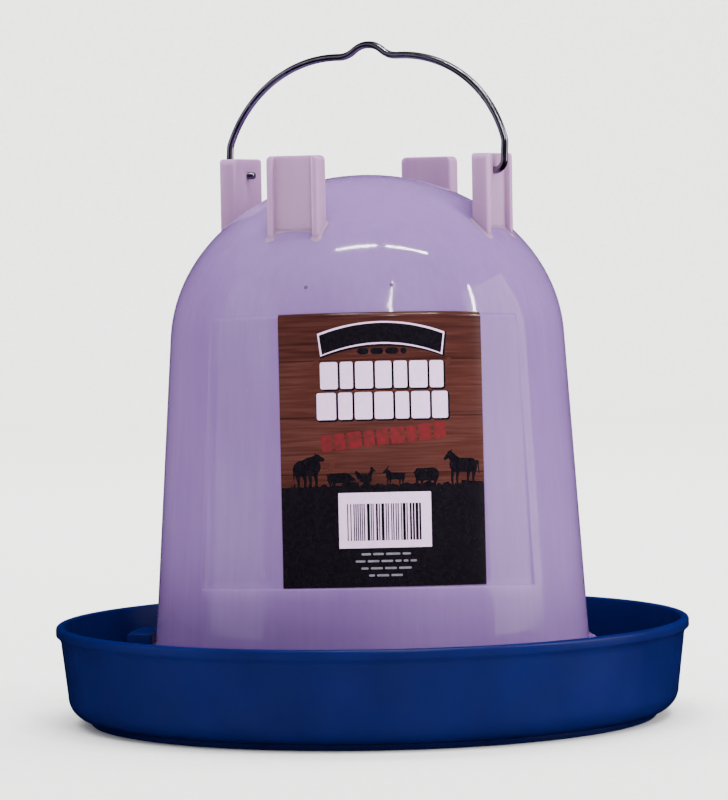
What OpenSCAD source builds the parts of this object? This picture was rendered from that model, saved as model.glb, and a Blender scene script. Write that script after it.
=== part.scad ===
// Gravity-fed poultry waterer: a moulded bell that screws into a drinking pan, with a wire bail.
// The pan stands on z = 0 and the label faces -Y.

/* [Drinking pan] */
// Clear width of the water trough at its floor
trough_w = 31.1; // [25:0.1:42]
// Height of the rim above the floor it stands on
pan_h = 43.5; // [40:0.5:50]
// Wall of the pan moulding
pan_wall = 2.3; // [1.8:0.1:3.2]
// Height of the seat that the bell stands on
seat_h = 30.5; // [26:0.5:33]
// Outside radius of the pan's bottom corner
corner_r = 10; // [7:1:16]
// Height of the standing ring under the pan
ring_h = 2.5; // [1.5:0.5:4]
// Width of the standing ring
ring_w = 3; // [2:0.5:5]
// How far the lip stands out past the wall
lip_out = 2.1; // [1.8:0.1:3.5]
// Height of the lip band
lip_h = 4.4; // [3:0.1:7]
// Outward lean of the pan wall from bottom to lip
wall_lean = 2.8; // [0.5:0.1:4]
// Thickness of the ribs under the seat
rib_t = 2; // [1.5:0.1:3]
// Depth of the ribs under the seat
rib_h = 9; // [4:1:14]

/* [Bayonet lugs] */
// Number of hooked lugs
lug_n = 3; // [2:1:4]
// Angle that each lug covers
lug_span = 18; // [12:1:24]
// Direction of the first lug, counted from the label
lug_at = 19; // [0:0.5:60]
// Radial size of a lug outside the flange
lug_out = 8.6; // [6:0.2:12]
// Thickness of the hook over the flange
hook_t = 4.6; // [3:0.1:6]
// Turn that frees the bell
unlock_turn = 30; // [26:1:40]

/* [Bell] */
// Outside diameter of the bell at its open end
bell_d = 192.3; // [160:0.1:230]
// Height of the straight wall, seat to dome
body_h = 134.8; // [110:0.1:165]
// Height of the dome
dome_h = 74.5; // [60:1:90]
// Draft of the straight wall in degrees
draft = 3.8; // [1:0.1:5]
// Wall of the bell moulding
bell_wall = 2.2; // [1.6:0.1:3]
// Width of the flange past the wall
flange_w = 3.8; // [3:0.1:6]
// Thickness of the flange
flange_t = 3; // [2:0.1:5]
// Width of a water port in the bell's edge
port_w = 12; // [6:1:20]
// Height of a water port
port_h = 5; // [4.5:0.5:8]

/* [Label panel] */
// Width of the label round the wall
label_w = 90.2; // [60:1:100]
// How far the sunk panel runs up past the foot of the dome
panel_over = 14.9; // [4:0.1:16]
// Thickness of the label film
label_t = 0.3; // [0.2:0.1:0.6]
// Height of the label's lower edge above the seat
label_up = 34.7; // [30:0.1:45]
// Angle that the sunk panel covers at its middle height
panel_span = 98.6; // [80:0.2:120]
// Direction of the panel's middle, counted from the label
panel_at = -5.5; // [-15:0.1:15]
// Depth of the panel at its lower edge, below the wall
panel_depth = 0.7; // [0.4:0.1:1.2]
// Depth of the panel at its upper edge, below the line of the wall
panel_depth_top = 0.1; // [0:0.1:0.6]
// Panel shown below the label
panel_below = 0.5; // [0.2:0.1:6]

/* [Standing feet] */
// Direction of the first foot, counted from the label
foot_at = -31.95; // [-45:0.05:45]
// Radius of the outer face of the feet
foot_r = 66.7; // [56:0.5:76]
// Width of a foot
foot_w = 25.3; // [18:0.5:30]
// Radial depth of a foot
foot_d = 7.8; // [6:0.2:10]
// Thickness of the side ribs of a foot
foot_rib = 3; // [2:0.1:4]
// Depth of the channel in the outer face
foot_channel = 2.7; // [1.5:0.1:4]
// Height of the feet above the top of the dome
foot_up = 8.2; // [8:0.2:16]
// Rounding of the top corners of a foot
foot_round = 3; // [1:0.5:5]

/* [Wire bail] */
// Wire diameter
wire_d = 3.2; // [2.4:0.1:4]
// Depth of the bail hole below the top of the foot
hole_down = 7.5; // [6:0.5:12]
// Straight part of the leg
leg_run = 7.5; // [4:0.5:12]
// Centreline bend radius at the foot
bend_r = 4.5; // [3.5:0.1:6]
// Centreline bend radius where the leg meets the arch
kink_r = 8; // [5:0.5:14]
// Length of wire past the inner face of the foot
tail_out = 3.2; // [2.4:0.1:8]
// Centreline radius of the hanging bump
bump_r = 11; // [8:0.5:16]
// Steepest slope of the hanging bump
bump_turn = 40; // [20:1:45]
// Straight part beside the bump
bump_run = 2.1; // [1:0.1:6]
// Lean of the bail about its holes as it is shown
bail_lean = 5.5; // [-8:0.5:8]

/* [Clearances] */
// Gap between the seat and the bell
seat_gap = 0.2; // [0.1:0.05:0.4]
// Gap between the flange and a hook
hook_gap = 0.4; // [0.3:0.05:0.8]
// Radial gap between the flange and the lugs
lug_gap = 0.4; // [0.3:0.05:0.8]
// Radial gap of the wire in its hole
wire_gap = 0.08; // [0.04:0.01:0.1]
// Gap between the wire legs and the feet
leg_gap = 0.3; // [0.2:0.05:0.6]
// Gap between the folded bail and the feet
swing_gap = 0.3; // [0.3:0.05:1]
// Gap between the label and the panel
label_gap = 0.05; // [0.02:0.01:0.1]

/* [Hidden] */
$fn = 96;
eps = 0.01;

// Bell
bell_r = bell_d / 2;
base_z = seat_h + seat_gap;
flange_r = bell_r + flange_w;
flange_top = base_z + flange_t;
flange_fillet = 1.5;
flange_round = 0.8;
slope = tan(draft);
dome_z = base_z + body_h;
dome_top = dome_z + dome_h;
function wall_r(z) = bell_r - (z - base_z) * slope;

// Pan
riser_r = flange_r + lug_gap;
riser_foot = riser_r + 1.4;
floor_z = ring_h + pan_wall;
wall_foot = riser_foot + trough_w + pan_wall;
wall_top = wall_foot + wall_lean;
lip_r = wall_top + lip_out;
lip_z = pan_h - lip_h;
flare_h = 6.5;
step_h = 0.9;

// Lugs
hook_z = flange_top + hook_gap;
hook_r = bell_r + flange_fillet + 0.1;
hook_top = hook_z + hook_t;
lug_r = riser_r + lug_out;

// Feet and bail
foot_top = dome_top + foot_up;
foot_in = foot_r - foot_d;
hole_z = foot_top - hole_down;
leg_x = foot_r + leg_gap + wire_d / 2;
bail_rise = foot_in - swing_gap - wire_d / 2;
bump_x = 2 * bump_r * sin(bump_turn);
bump_z = 2 * bump_r * (1 - cos(bump_turn));
arch_w = leg_x - bump_x - bump_run;
arch_h = bail_rise - bump_z - leg_run - bend_r;
arch_turn = 2 * atan((arch_h - kink_r) / (arch_w - kink_r));
arch_r = kink_r + (arch_w - kink_r) / sin(arch_turn);

// Label
label_z = base_z + label_up;
label_h = body_h + panel_over - label_up;
panel_z = label_z - panel_below;
panel_top = label_z + label_h;
function panel_r(z) = wall_r(z) - panel_depth
    + (panel_depth - panel_depth_top) * (z - panel_z) / (panel_top - panel_z);

function arc(x, y, r, from, to, n = 8) =
    [for (i = [0 : n]) let (a = from + (to - from) * i / n) [x + r * cos(a), y + r * sin(a)]];

// Half section of a bell-shaped surface, from the open end to the crown.
function bell_line(inset, n = 30) =
    let (
        h = dome_h - inset,
        reach = bell_r - body_h * slope - inset / cos(draft),
        r = sqrt(reach * reach - pow(h * slope, 2)),
        start = asin(h * slope / reach)
    )
    [for (i = [0 : n]) let (a = start + (90 - start) * i / n)
        [i == n ? 0 : r * cos(a), dome_z + h * sin(a)]];

// Turns the half plane so that a piece centred on +X points at a direction counted from the label.
module face(direction) rotate([0, 0, direction - 90]) children();

module sector(span) rotate([0, 0, -span / 2]) rotate_extrude(angle = span) children();

// ---- Drinking pan ----
module pan_section() {
    inner_corner = corner_r - pan_wall;
    lean = atan(wall_lean / (lip_z - flare_h - ring_h - corner_r));
    polygon(concat(
        [[0, seat_h - pan_wall], [riser_r - pan_wall - 1.5, seat_h - pan_wall]],
        [[riser_r - pan_wall, seat_h - pan_wall - 1.5], [riser_foot - pan_wall, ring_h]],
        [[wall_foot - corner_r - ring_w, ring_h], [wall_foot - corner_r - ring_w, 0]],
        [[wall_foot - corner_r, 0], [wall_foot - corner_r, ring_h]],
        arc(wall_foot - corner_r, ring_h + corner_r, corner_r, -84, 0),
        arc(wall_top - 0.2 + flare_h, lip_z - step_h - flare_h / 2, flare_h, 180, 152, 4),
        [[lip_r - 1.1, lip_z - step_h], [lip_r - 1.0, lip_z], [lip_r, lip_z + 0.3]],
        arc(lip_r - 1.6, pan_h - 1.6, 1.6, 0, 90, 5),
        arc(lip_r - 2.6, pan_h - 1.2, 1.2, 90, 170, 4),
        [[wall_top - pan_wall, lip_z - step_h - flare_h / 2]],
        arc(wall_foot - corner_r, floor_z + inner_corner, inner_corner, 0, -90),
        [[riser_foot + 1.5, floor_z], [riser_foot - 0.1, floor_z + 1.5]],
        arc(riser_r - 1, seat_h - 1, 1, 0, 90, 4),
        [[0, seat_h]]
    ));
}

module lug_section() {
    polygon(concat(
        [[riser_r - 0.6, floor_z - 1], [lug_r + 0.9, floor_z - 1]],
        arc(lug_r - 1.8, hook_top - 1.8, 1.8, 0, 90, 5),
        arc(hook_r + 1, hook_top - 1, 1, 90, 180, 4),
        [[hook_r, hook_z + 0.4], [hook_r + 0.4, hook_z], [riser_r, hook_z], [riser_r, seat_h - 1]]
    ));
}

module lug_core() {
    polygon([
        [riser_foot + 1, -1],
        [lug_r - 1.3, -1],
        [lug_r - 1.9, hook_top - 2.4],
        [riser_r + 2, hook_top - 2.4]
    ]);
}

module drinking_pan() color("midnightblue") {
    lug_wall_angle = 2 / lug_r * 180 / PI;
    difference() {
        union() {
            rotate_extrude() pan_section();
            for (i = [0 : lug_n - 1])
                face(lug_at + i * 360 / lug_n) sector(lug_span) lug_section();
        }
        for (i = [0 : lug_n - 1])
            face(lug_at + i * 360 / lug_n) sector(lug_span - 2 * lug_wall_angle) lug_core();
    }
    for (i = [0 : 5])
        face(i * 60 + lug_at + 30)
            translate([bell_r * 0.2, -rib_t / 2, seat_h - pan_wall - rib_h])
                cube([riser_r - pan_wall - bell_r * 0.2 + 0.4, rib_t, rib_h + 1]);
    translate([0, 0, seat_h - pan_wall - rib_h])
        difference() {
            cylinder(h = rib_h + 1, r = bell_r * 0.2 + 1);
            translate([0, 0, -1]) cylinder(h = rib_h + 3, r = bell_r * 0.2 - 1);
        }
}

// ---- Bell ----
module bell_section() {
    root = wall_r(flange_top + flange_fillet);
    polygon(concat(
        [[wall_r(base_z) - bell_wall / cos(draft), base_z]],
        arc(flange_r - flange_round, base_z + flange_round, flange_round, -90, 0, 3),
        arc(flange_r - flange_round, flange_top - flange_round, flange_round, 0, 90, 3),
        arc(root + flange_fillet, flange_top + flange_fillet, flange_fillet, 270, 180, 5),
        bell_line(0),
        [for (p = [len(bell_line(0)) - 1 : -1 : 0]) bell_line(bell_wall)[p]]
    ));
}

module bell_cavity() {
    polygon(concat([[0, base_z - 1], [wall_r(base_z - 1) - bell_wall / cos(draft), base_z - 1]],
        bell_line(bell_wall)));
}

module foot() {
    half = foot_w / 2;
    slot = half - foot_rib;
    intersection() {
        translate([0, 0, dome_z]) linear_extrude(foot_top - dome_z) polygon(concat(
            arc(foot_in + 1, -half + 1, 1, 180, 270, 4),
            arc(foot_r - 1, -half + 1, 1, 270, 360, 4),
            [[foot_r, -slot], [foot_r - foot_channel, -slot]],
            [[foot_r - foot_channel, slot], [foot_r, slot]],
            arc(foot_r - 1, half - 1, 1, 0, 90, 4),
            arc(foot_in + 1, half - 1, 1, 90, 180, 4)
        ));
        translate([foot_r + 1, 0, 0]) rotate([90, 0, -90]) linear_extrude(foot_d + 2) polygon(concat(
            [[-half - 1, dome_z - 1], [half + 1, dome_z - 1]],
            [[half + 1, foot_top - foot_round - 1], [half, foot_top - foot_round]],
            arc(half - foot_round, foot_top - foot_round, foot_round, 0, 90, 6),
            arc(-half + foot_round, foot_top - foot_round, foot_round, 90, 180, 6),
            [[-half, foot_top - foot_round], [-half - 1, foot_top - foot_round - 1]]
        ));
    }
}

module bail_hole() {
    translate([foot_in - 2, 0, hole_z]) rotate([0, 90, 0]) cylinder(h = foot_d + 4, d = wire_d + 2 * wire_gap);
}

// A strip of cone wall between two depths, drawn longer than it is needed and cut by panel_zone.
module panel_strip(inside, outside) {
    low = panel_z - 8;
    high = panel_top + 8;
    polygon([
        [panel_r(low) - inside, low],
        [panel_r(low) + outside, low],
        [panel_r(high) + outside, high],
        [panel_r(high) - inside, high]
    ]);
}

// The slab between two heights of the wall's line on +X, square to that line, as a flat sheet wraps.
module panel_zone(low, high) {
    translate([wall_r(low), 0, low]) rotate([0, -draft, 0]) translate([-2 * bell_r, -bell_r, 0])
        cube([3 * bell_r, 2 * bell_r, (high - low) / cos(draft)]);
}

// The panel is a straight strip of wall: sunk at its lower edge, and proud of the dome at its upper edge.
module panel(inside, outside) {
    face(panel_at) intersection() {
        sector(panel_span) panel_strip(inside, outside);
        panel_zone(panel_z, panel_top);
    }
}

module flange_notch() {
    translate([bell_r + eps, base_z - 1]) square([flange_w + 2, flange_t + flange_fillet + 1.5]);
}

module fount_bell() color("lavender") {
    notch_span = lug_span + 2.4;
    difference() {
        union() {
            rotate_extrude() bell_section();
            for (i = [0 : 3]) face(foot_at + i * 90) foot();
            panel(bell_wall * 0.6, 0);
        }
        rotate_extrude() bell_cavity();
        for (side = [90, 270]) face(foot_at + side) bail_hole();
        panel(0, 3);
        for (i = [0 : lug_n - 1])
            face(lug_at - unlock_turn + i * 360 / lug_n) sector(notch_span) flange_notch();
        for (side = [0, 180])
            face(side) translate([bell_r - bell_wall - 4, -port_w / 2, base_z - 1])
                cube([flange_w + bell_wall + 8, port_w, port_h + 1]);
    }
}

// ---- Wire bail ----
// A station on the wire's centreline is [x, z, heading], and the heading turns from +X towards -Z.
function bent(from, radius, turn, n) =
    let (r = turn < 0 ? -radius : radius)
    [for (i = [1 : n]) let (h = from[2] + turn * i / n)
        [from[0] + r * (sin(h) - sin(from[2])), from[1] + r * (cos(h) - cos(from[2])), h]];

function straight(from, length) =
    [[from[0] + length * cos(from[2]), from[1] - length * sin(from[2]), from[2]]];

// Each step is [radius, turn, pieces] or, for a straight run, [length].
function wire_line(steps, line, i = 0) =
    i == len(steps) ? line :
    let (from = line[len(line) - 1], s = steps[i])
    wire_line(steps, concat(line, len(s) == 1 ? straight(from, s[0]) : bent(from, s[0], s[1], s[2])), i + 1);

module wire_tube(line, radius, sides = 16) {
    points = [for (s = line) for (k = [0 : sides - 1])
        let (a = 360 * k / sides, out = radius * cos(a))
        [s[0] + out * sin(s[2]), radius * sin(a), s[1] + out * cos(s[2])]];
    last = (len(line) - 1) * sides;
    polyhedron(points, concat(
        [[for (k = [sides - 1 : -1 : 0]) k]],
        [for (j = [0 : len(line) - 2]) for (k = [0 : sides - 1])
            let (next = (k + 1) % sides)
            [j * sides + k, j * sides + next, (j + 1) * sides + next, (j + 1) * sides + k]],
        [[for (k = [0 : sides - 1]) last + k]]
    ));
}

module wire_bail() color("silver") {
    overlap = 0.5;
    bent_loss = 0.03; // bending thins the wire a little, so the tube ends inside the straight ends
    half = wire_line([
        [bump_r, bump_turn, 4],
        [bump_r, -bump_turn, 4],
        [bump_run],
        [arch_r, arch_turn, 14],
        [kink_r, 90 - arch_turn, 3],
        [leg_run],
        [bend_r, 90, 6],
        [overlap]
    ], [[0, bail_rise, 0]]);
    other_half = [for (i = [len(half) - 1 : -1 : 1]) [-half[i][0], half[i][1], -half[i][2]]];
    face(foot_at + 90) translate([0, 0, hole_z]) rotate([-bail_lean, 0, 0]) {
        wire_tube(concat(other_half, half), wire_d / 2 - bent_loss);
        for (side = [0, 180])
            rotate([0, 0, side]) translate([foot_in - tail_out, 0, 0]) rotate([0, 90, 0])
                cylinder(h = leg_x - bend_r - foot_in + tail_out, d = wire_d);
    }
}

// ---- Label ----
module front_label() color("saddlebrown") {
    middle = panel_r(label_z + label_h / 2);
    half_chord = middle * sin(label_w / 2 / middle * 180 / PI);
    face(0) intersection() {
        sector(90) panel_strip(-label_gap, label_gap + label_t);
        panel_zone(label_z, panel_top - label_gap);
        translate([0, -half_chord, label_z - 9]) cube([bell_r + 5, 2 * half_chord, label_h + 18]);
    }
}

drinking_pan();
fount_bell();
wire_bail();
front_label();
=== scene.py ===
"""A gravity-fed poultry waterer: a translucent moulded bell on a blue drinking pan, with a wire bail."""
import math
import random

import bmesh
import bpy
from mathutils import Matrix, Vector


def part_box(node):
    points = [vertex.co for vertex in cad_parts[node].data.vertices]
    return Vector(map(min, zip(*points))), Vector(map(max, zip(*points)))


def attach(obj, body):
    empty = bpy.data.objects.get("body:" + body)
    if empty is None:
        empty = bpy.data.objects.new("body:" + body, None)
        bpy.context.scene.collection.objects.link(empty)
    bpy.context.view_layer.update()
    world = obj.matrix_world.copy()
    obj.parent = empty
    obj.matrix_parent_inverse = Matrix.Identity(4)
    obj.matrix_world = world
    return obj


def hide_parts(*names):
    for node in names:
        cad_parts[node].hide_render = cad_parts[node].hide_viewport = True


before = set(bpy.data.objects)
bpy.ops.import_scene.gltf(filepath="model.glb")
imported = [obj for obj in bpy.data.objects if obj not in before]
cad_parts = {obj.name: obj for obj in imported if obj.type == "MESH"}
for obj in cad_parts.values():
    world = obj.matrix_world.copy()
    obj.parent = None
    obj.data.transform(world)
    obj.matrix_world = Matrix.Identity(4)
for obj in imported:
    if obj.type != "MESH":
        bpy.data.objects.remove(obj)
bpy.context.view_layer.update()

MM = 0.001


def box_mm(node):
    low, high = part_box(node)
    return low / MM, high / MM


# ---------------------------------------------------------------- sizes, in millimetres

PAN_HIGH = box_mm("drinking_pan")[1]
BELL_LOW, BELL_HIGH = box_mm("fount_bell")

# Bell
FLANGE_W = 3.8
FLANGE_T = 3.0
FLANGE_FILLET = 1.5
FLANGE_ROUND = 0.8
BELL_R = BELL_HIGH.x - FLANGE_W
BASE_Z = BELL_LOW.z
BODY_H = 134.8
DOME_H = 74.5
DRAFT = math.radians(3.8)
SLOPE = math.tan(DRAFT)
BELL_WALL = 2.2
PORT_W = 12.0
PORT_H = 5.0
FLANGE_TOP = BASE_Z + FLANGE_T
DOME_Z = BASE_Z + BODY_H

# Label and the sunk panel behind it; directions are degrees from the label's middle, positive to the right
LABEL_UP = 34.7
LABEL_W = 90.2
PANEL_OVER = 14.9
PANEL_SPAN = 98.6
PANEL_AT = -5.5
PANEL_DEPTH = 0.7
PANEL_DEPTH_TOP = 0.1
LABEL_Z = BASE_Z + LABEL_UP
PANEL_BELOW = 0.5
PANEL_Z = LABEL_Z - PANEL_BELOW
PANEL_TOP = DOME_Z + PANEL_OVER
LABEL_H = (PANEL_TOP - LABEL_Z) / math.cos(DRAFT)

# Pan
SEAT_GAP = 0.2
SEAT_H = BASE_Z - SEAT_GAP
PAN_WALL = 2.3
RING_H = 2.5
RING_W = 3.0
CORNER_R = 10.0
LUG_GAP = 0.4
RISER_R = BELL_HIGH.x + LUG_GAP
RISER_FOOT = RISER_R + 1.4
TROUGH_W = 31.1
WALL_LEAN = 2.8
FLOOR_Z = RING_H + PAN_WALL
WALL_FOOT = RISER_FOOT + TROUGH_W + PAN_WALL
WALL_TOP = WALL_FOOT + WALL_LEAN
LIP_R = PAN_HIGH.x
PAN_H = PAN_HIGH.z
LIP_H = 4.4
LIP_Z = PAN_H - LIP_H
STEP_H = 0.9
FLARE_H = 6.5
RIB_T = 2.0
RIB_H = 9.0

# Lugs
LUG_N = 3
LUG_AT = 19.0
LUG_SPAN = 18.0
UNLOCK_TURN = 30.0
HOOK_GAP = 0.4
HOOK_T = 4.6
LUG_OUT = 8.6
HOOK_Z = FLANGE_TOP + HOOK_GAP
HOOK_TOP = HOOK_Z + HOOK_T
HOOK_R = BELL_R + FLANGE_FILLET + 0.1
LUG_R = RISER_R + LUG_OUT

# Feet
FOOT_AT = -31.95
FOOT_R = 66.7
FOOT_W = 25.3
FOOT_D = 7.8
FOOT_RIB = 3.0
FOOT_CHANNEL = 2.7
FOOT_ROUND = 3.0
FOOT_TOP = BELL_HIGH.z
FOOT_IN = FOOT_R - FOOT_D
HINGE_AT = FOOT_AT + 90

# Bail
WIRE_D = 3.2
HOLE_D = 3.36
HOLE_DOWN = 7.5
LEG_GAP = 0.3
SWING_GAP = 0.3
HOLE_Z = FOOT_TOP - HOLE_DOWN
LEG_X = FOOT_R + LEG_GAP + WIRE_D / 2
BAIL_RISE = FOOT_IN - SWING_GAP - WIRE_D / 2
LEG_RUN = 7.5
BEND_R = 4.5
KINK_R = 8.0
TAIL_OUT = 3.2
BUMP_R = 11.0
BUMP_TURN = math.radians(40)
BUMP_RUN = 2.1
BAIL_LEAN = math.radians(5.5)


# ---------------------------------------------------------------- helpers

def srgb(code, alpha=1.0):
    """Linear colour from an sRGB hex value such as "8a7f99"."""
    def channel(text):
        v = int(text, 16) / 255
        return v / 12.92 if v <= 0.04045 else ((v + 0.055) / 1.055) ** 2.4
    return (channel(code[0:2]), channel(code[2:4]), channel(code[4:6]), alpha)


def add(tree, kind, inputs=None, stops=None, **settings):
    """Adds one node; inputs maps a socket to a value or to another node's output, stops sets a ramp."""
    node = tree.nodes.new(kind)
    for name, value in settings.items():
        setattr(node, name, value)
    for socket, value in (inputs or {}).items():
        if isinstance(value, bpy.types.NodeSocket):
            tree.links.new(value, node.inputs[socket])
        else:
            node.inputs[socket].default_value = value
    for i, (position, colour) in enumerate(stops or []):
        elements = node.color_ramp.elements
        stop = elements[i] if i < 2 else elements.new(position)
        stop.position = position
        stop.color = colour
    return node


def new_material(name):
    """An empty node material and its Principled shader."""
    material = bpy.data.materials.new(name)
    material.use_nodes = True
    tree = material.node_tree
    tree.nodes.clear()
    shader = add(tree, "ShaderNodeBsdfPrincipled")
    add(tree, "ShaderNodeOutputMaterial", {"Surface": shader.outputs["BSDF"]})
    return material, tree, shader


def place(tree, scale):
    """Object coordinates, stretched so that one unit of a pattern is 1 / scale metres."""
    spot = add(tree, "ShaderNodeTexCoord")
    stretch = add(tree, "ShaderNodeMapping", {"Vector": spot.outputs["Object"], "Scale": scale})
    return stretch.outputs["Vector"]


def mesh_object(name, verts, faces, material, crease=40):
    """A piece from points in millimetres, smooth except at edges sharper than the crease angle."""
    mesh = bpy.data.meshes.new(name)
    mesh.from_pydata([tuple(c * MM for c in v) for v in verts], [], faces)
    piece = bpy.data.objects.new(name, mesh)
    bpy.context.scene.collection.objects.link(piece)
    mesh.materials.append(material)
    finish_mesh(mesh, crease)
    return piece


def finish_mesh(mesh, crease=40):
    bm = bmesh.new()
    bm.from_mesh(mesh)
    bmesh.ops.remove_doubles(bm, verts=bm.verts, dist=0.002 * MM)
    bmesh.ops.dissolve_degenerate(bm, dist=0.001 * MM, edges=bm.edges)
    bmesh.ops.recalc_face_normals(bm, faces=bm.faces)
    for face in bm.faces:
        face.smooth = True
    for edge in bm.edges:
        if len(edge.link_faces) == 2:
            edge.smooth = edge.calc_face_angle(0) < math.radians(crease)
    bm.to_mesh(mesh)
    bm.free()


def apply_modifiers(piece, crease=40):
    """Turns a piece's modifiers into plain mesh."""
    depsgraph = bpy.context.evaluated_depsgraph_get()
    result = bpy.data.meshes.new_from_object(piece.evaluated_get(depsgraph))
    piece.modifiers.clear()
    piece.data = result
    finish_mesh(result, crease)


def cut(piece, tool, operation):
    """Applies a boolean to a piece and removes the tool."""
    modifier = piece.modifiers.new("cut", "BOOLEAN")
    modifier.operation = operation
    modifier.object = tool
    modifier.solver = "EXACT"
    apply_modifiers(piece)
    bpy.data.objects.remove(tool)


def soften(piece, width, crease=40):
    """Rounds a piece's sharp edges, as a mould does."""
    modifier = piece.modifiers.new("soften", "BEVEL")
    modifier.width = width * MM
    modifier.segments = 3
    modifier.limit_method = "ANGLE"
    modifier.angle_limit = math.radians(35)
    modifier.use_clamp_overlap = True
    apply_modifiers(piece, crease)


def arc(x, y, r, start, end, n):
    """Points on an arc, angles in degrees."""
    turns = [math.radians(start + (end - start) * i / n) for i in range(n + 1)]
    return [(x + r * math.cos(a), y + r * math.sin(a)) for a in turns]


def towards(direction, r, z):
    """The point at radius r in a direction counted in degrees from the label's middle."""
    a = math.radians(direction)
    return (r * math.sin(a), -r * math.cos(a), z)


def across(direction, radial, side, z):
    """A point in the frame of a direction: radial out along it, side to its left as seen from outside."""
    a = math.radians(direction)
    return (radial * math.sin(a) + side * math.cos(a), -radial * math.cos(a) + side * math.sin(a), z)


def ease(t):
    t = min(max(t, 0.0), 1.0)
    return t * t * (3 - 2 * t)


def off_centre(direction, middle):
    return (direction - middle + 180) % 360 - 180


def within(direction, middle, span, edge):
    """1 inside a sector, 0 outside, with a ramp of width edge centred on each side; degrees."""
    return ease((span / 2 + edge / 2 - abs(off_centre(direction, middle))) / edge)


def sector_lines(middle, span, edge, n=4):
    """Directions that a sector's two sides need to be drawn crisply."""
    return [middle + side * (span / 2 + edge * (k / n - 0.5)) for side in (-1, 1) for k in range(n + 1)]


def turn_of(directions, n):
    """n even directions with the given ones among them, in order."""
    even = [360 * i / n for i in range(n)]
    wanted = sorted(d % 360 for d in directions)
    even = [d for d in even if all(abs(off_centre(d, w)) > 0.25 * 360 / n for w in wanted)]
    return sorted(set(round(d, 5) for d in even + wanted))


def lathe(name, profile, directions, material, shape=None, crease=40):
    """A turned piece. A profile point on the axis becomes a pole; shape(direction, r, z) may move a point."""
    verts = []
    rings = []
    for r, z in profile:
        if r < 1e-6:
            rings.append([len(verts)] * len(directions))
            verts.append((0, 0, z))
        else:
            rings.append(range(len(verts), len(verts) + len(directions)))
            for d in directions:
                verts.append(towards(d, *(shape(d, r, z) if shape else (r, z))))
    faces = []
    for lower, upper in zip(rings, rings[1:]):
        for i in range(len(directions)):
            j = (i + 1) % len(directions)
            corners = [lower[i], lower[j], upper[j], upper[i]]
            faces.append(tuple(dict.fromkeys(corners)))
    return mesh_object(name, verts, faces, material, crease)


def sector_block(name, section, middle, span, material, n=12):
    """A closed block: a section of (r, z) points swept through a sector."""
    size = len(section)
    turns = [middle + span * (k / n - 0.5) for k in range(n + 1)]
    verts = [towards(d, r, z) for d in turns for r, z in section]
    faces = [tuple(range(size)), tuple(range(n * size, (n + 1) * size))[::-1]]
    for k in range(n):
        for i in range(size):
            j = (i + 1) % size
            faces.append((k * size + i, k * size + j, (k + 1) * size + j, (k + 1) * size + i))
    return mesh_object(name, verts, faces, material)


def prism(name, outline, low, high, material, to_point):
    """A closed straight prism; low and high are heights or functions of an outline point."""
    n = len(outline)
    verts = []
    for level in (low, high):
        for x, y in outline:
            verts.append(to_point(x, y, level(x, y) if callable(level) else level))
    faces = [tuple(range(n))[::-1], tuple(range(n, 2 * n))]
    faces += [(i, (i + 1) % n, n + (i + 1) % n, n + i) for i in range(n)]
    return mesh_object(name, verts, faces, material)


def ride_as(piece, body, slot_name, *nodes):
    """Every piece rides on a body; the slot name is not used. It may stand for CAD nodes, which it hides."""
    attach(piece, body)
    if nodes:
        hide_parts(*nodes)
    return piece


# ---------------------------------------------------------------- materials

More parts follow.
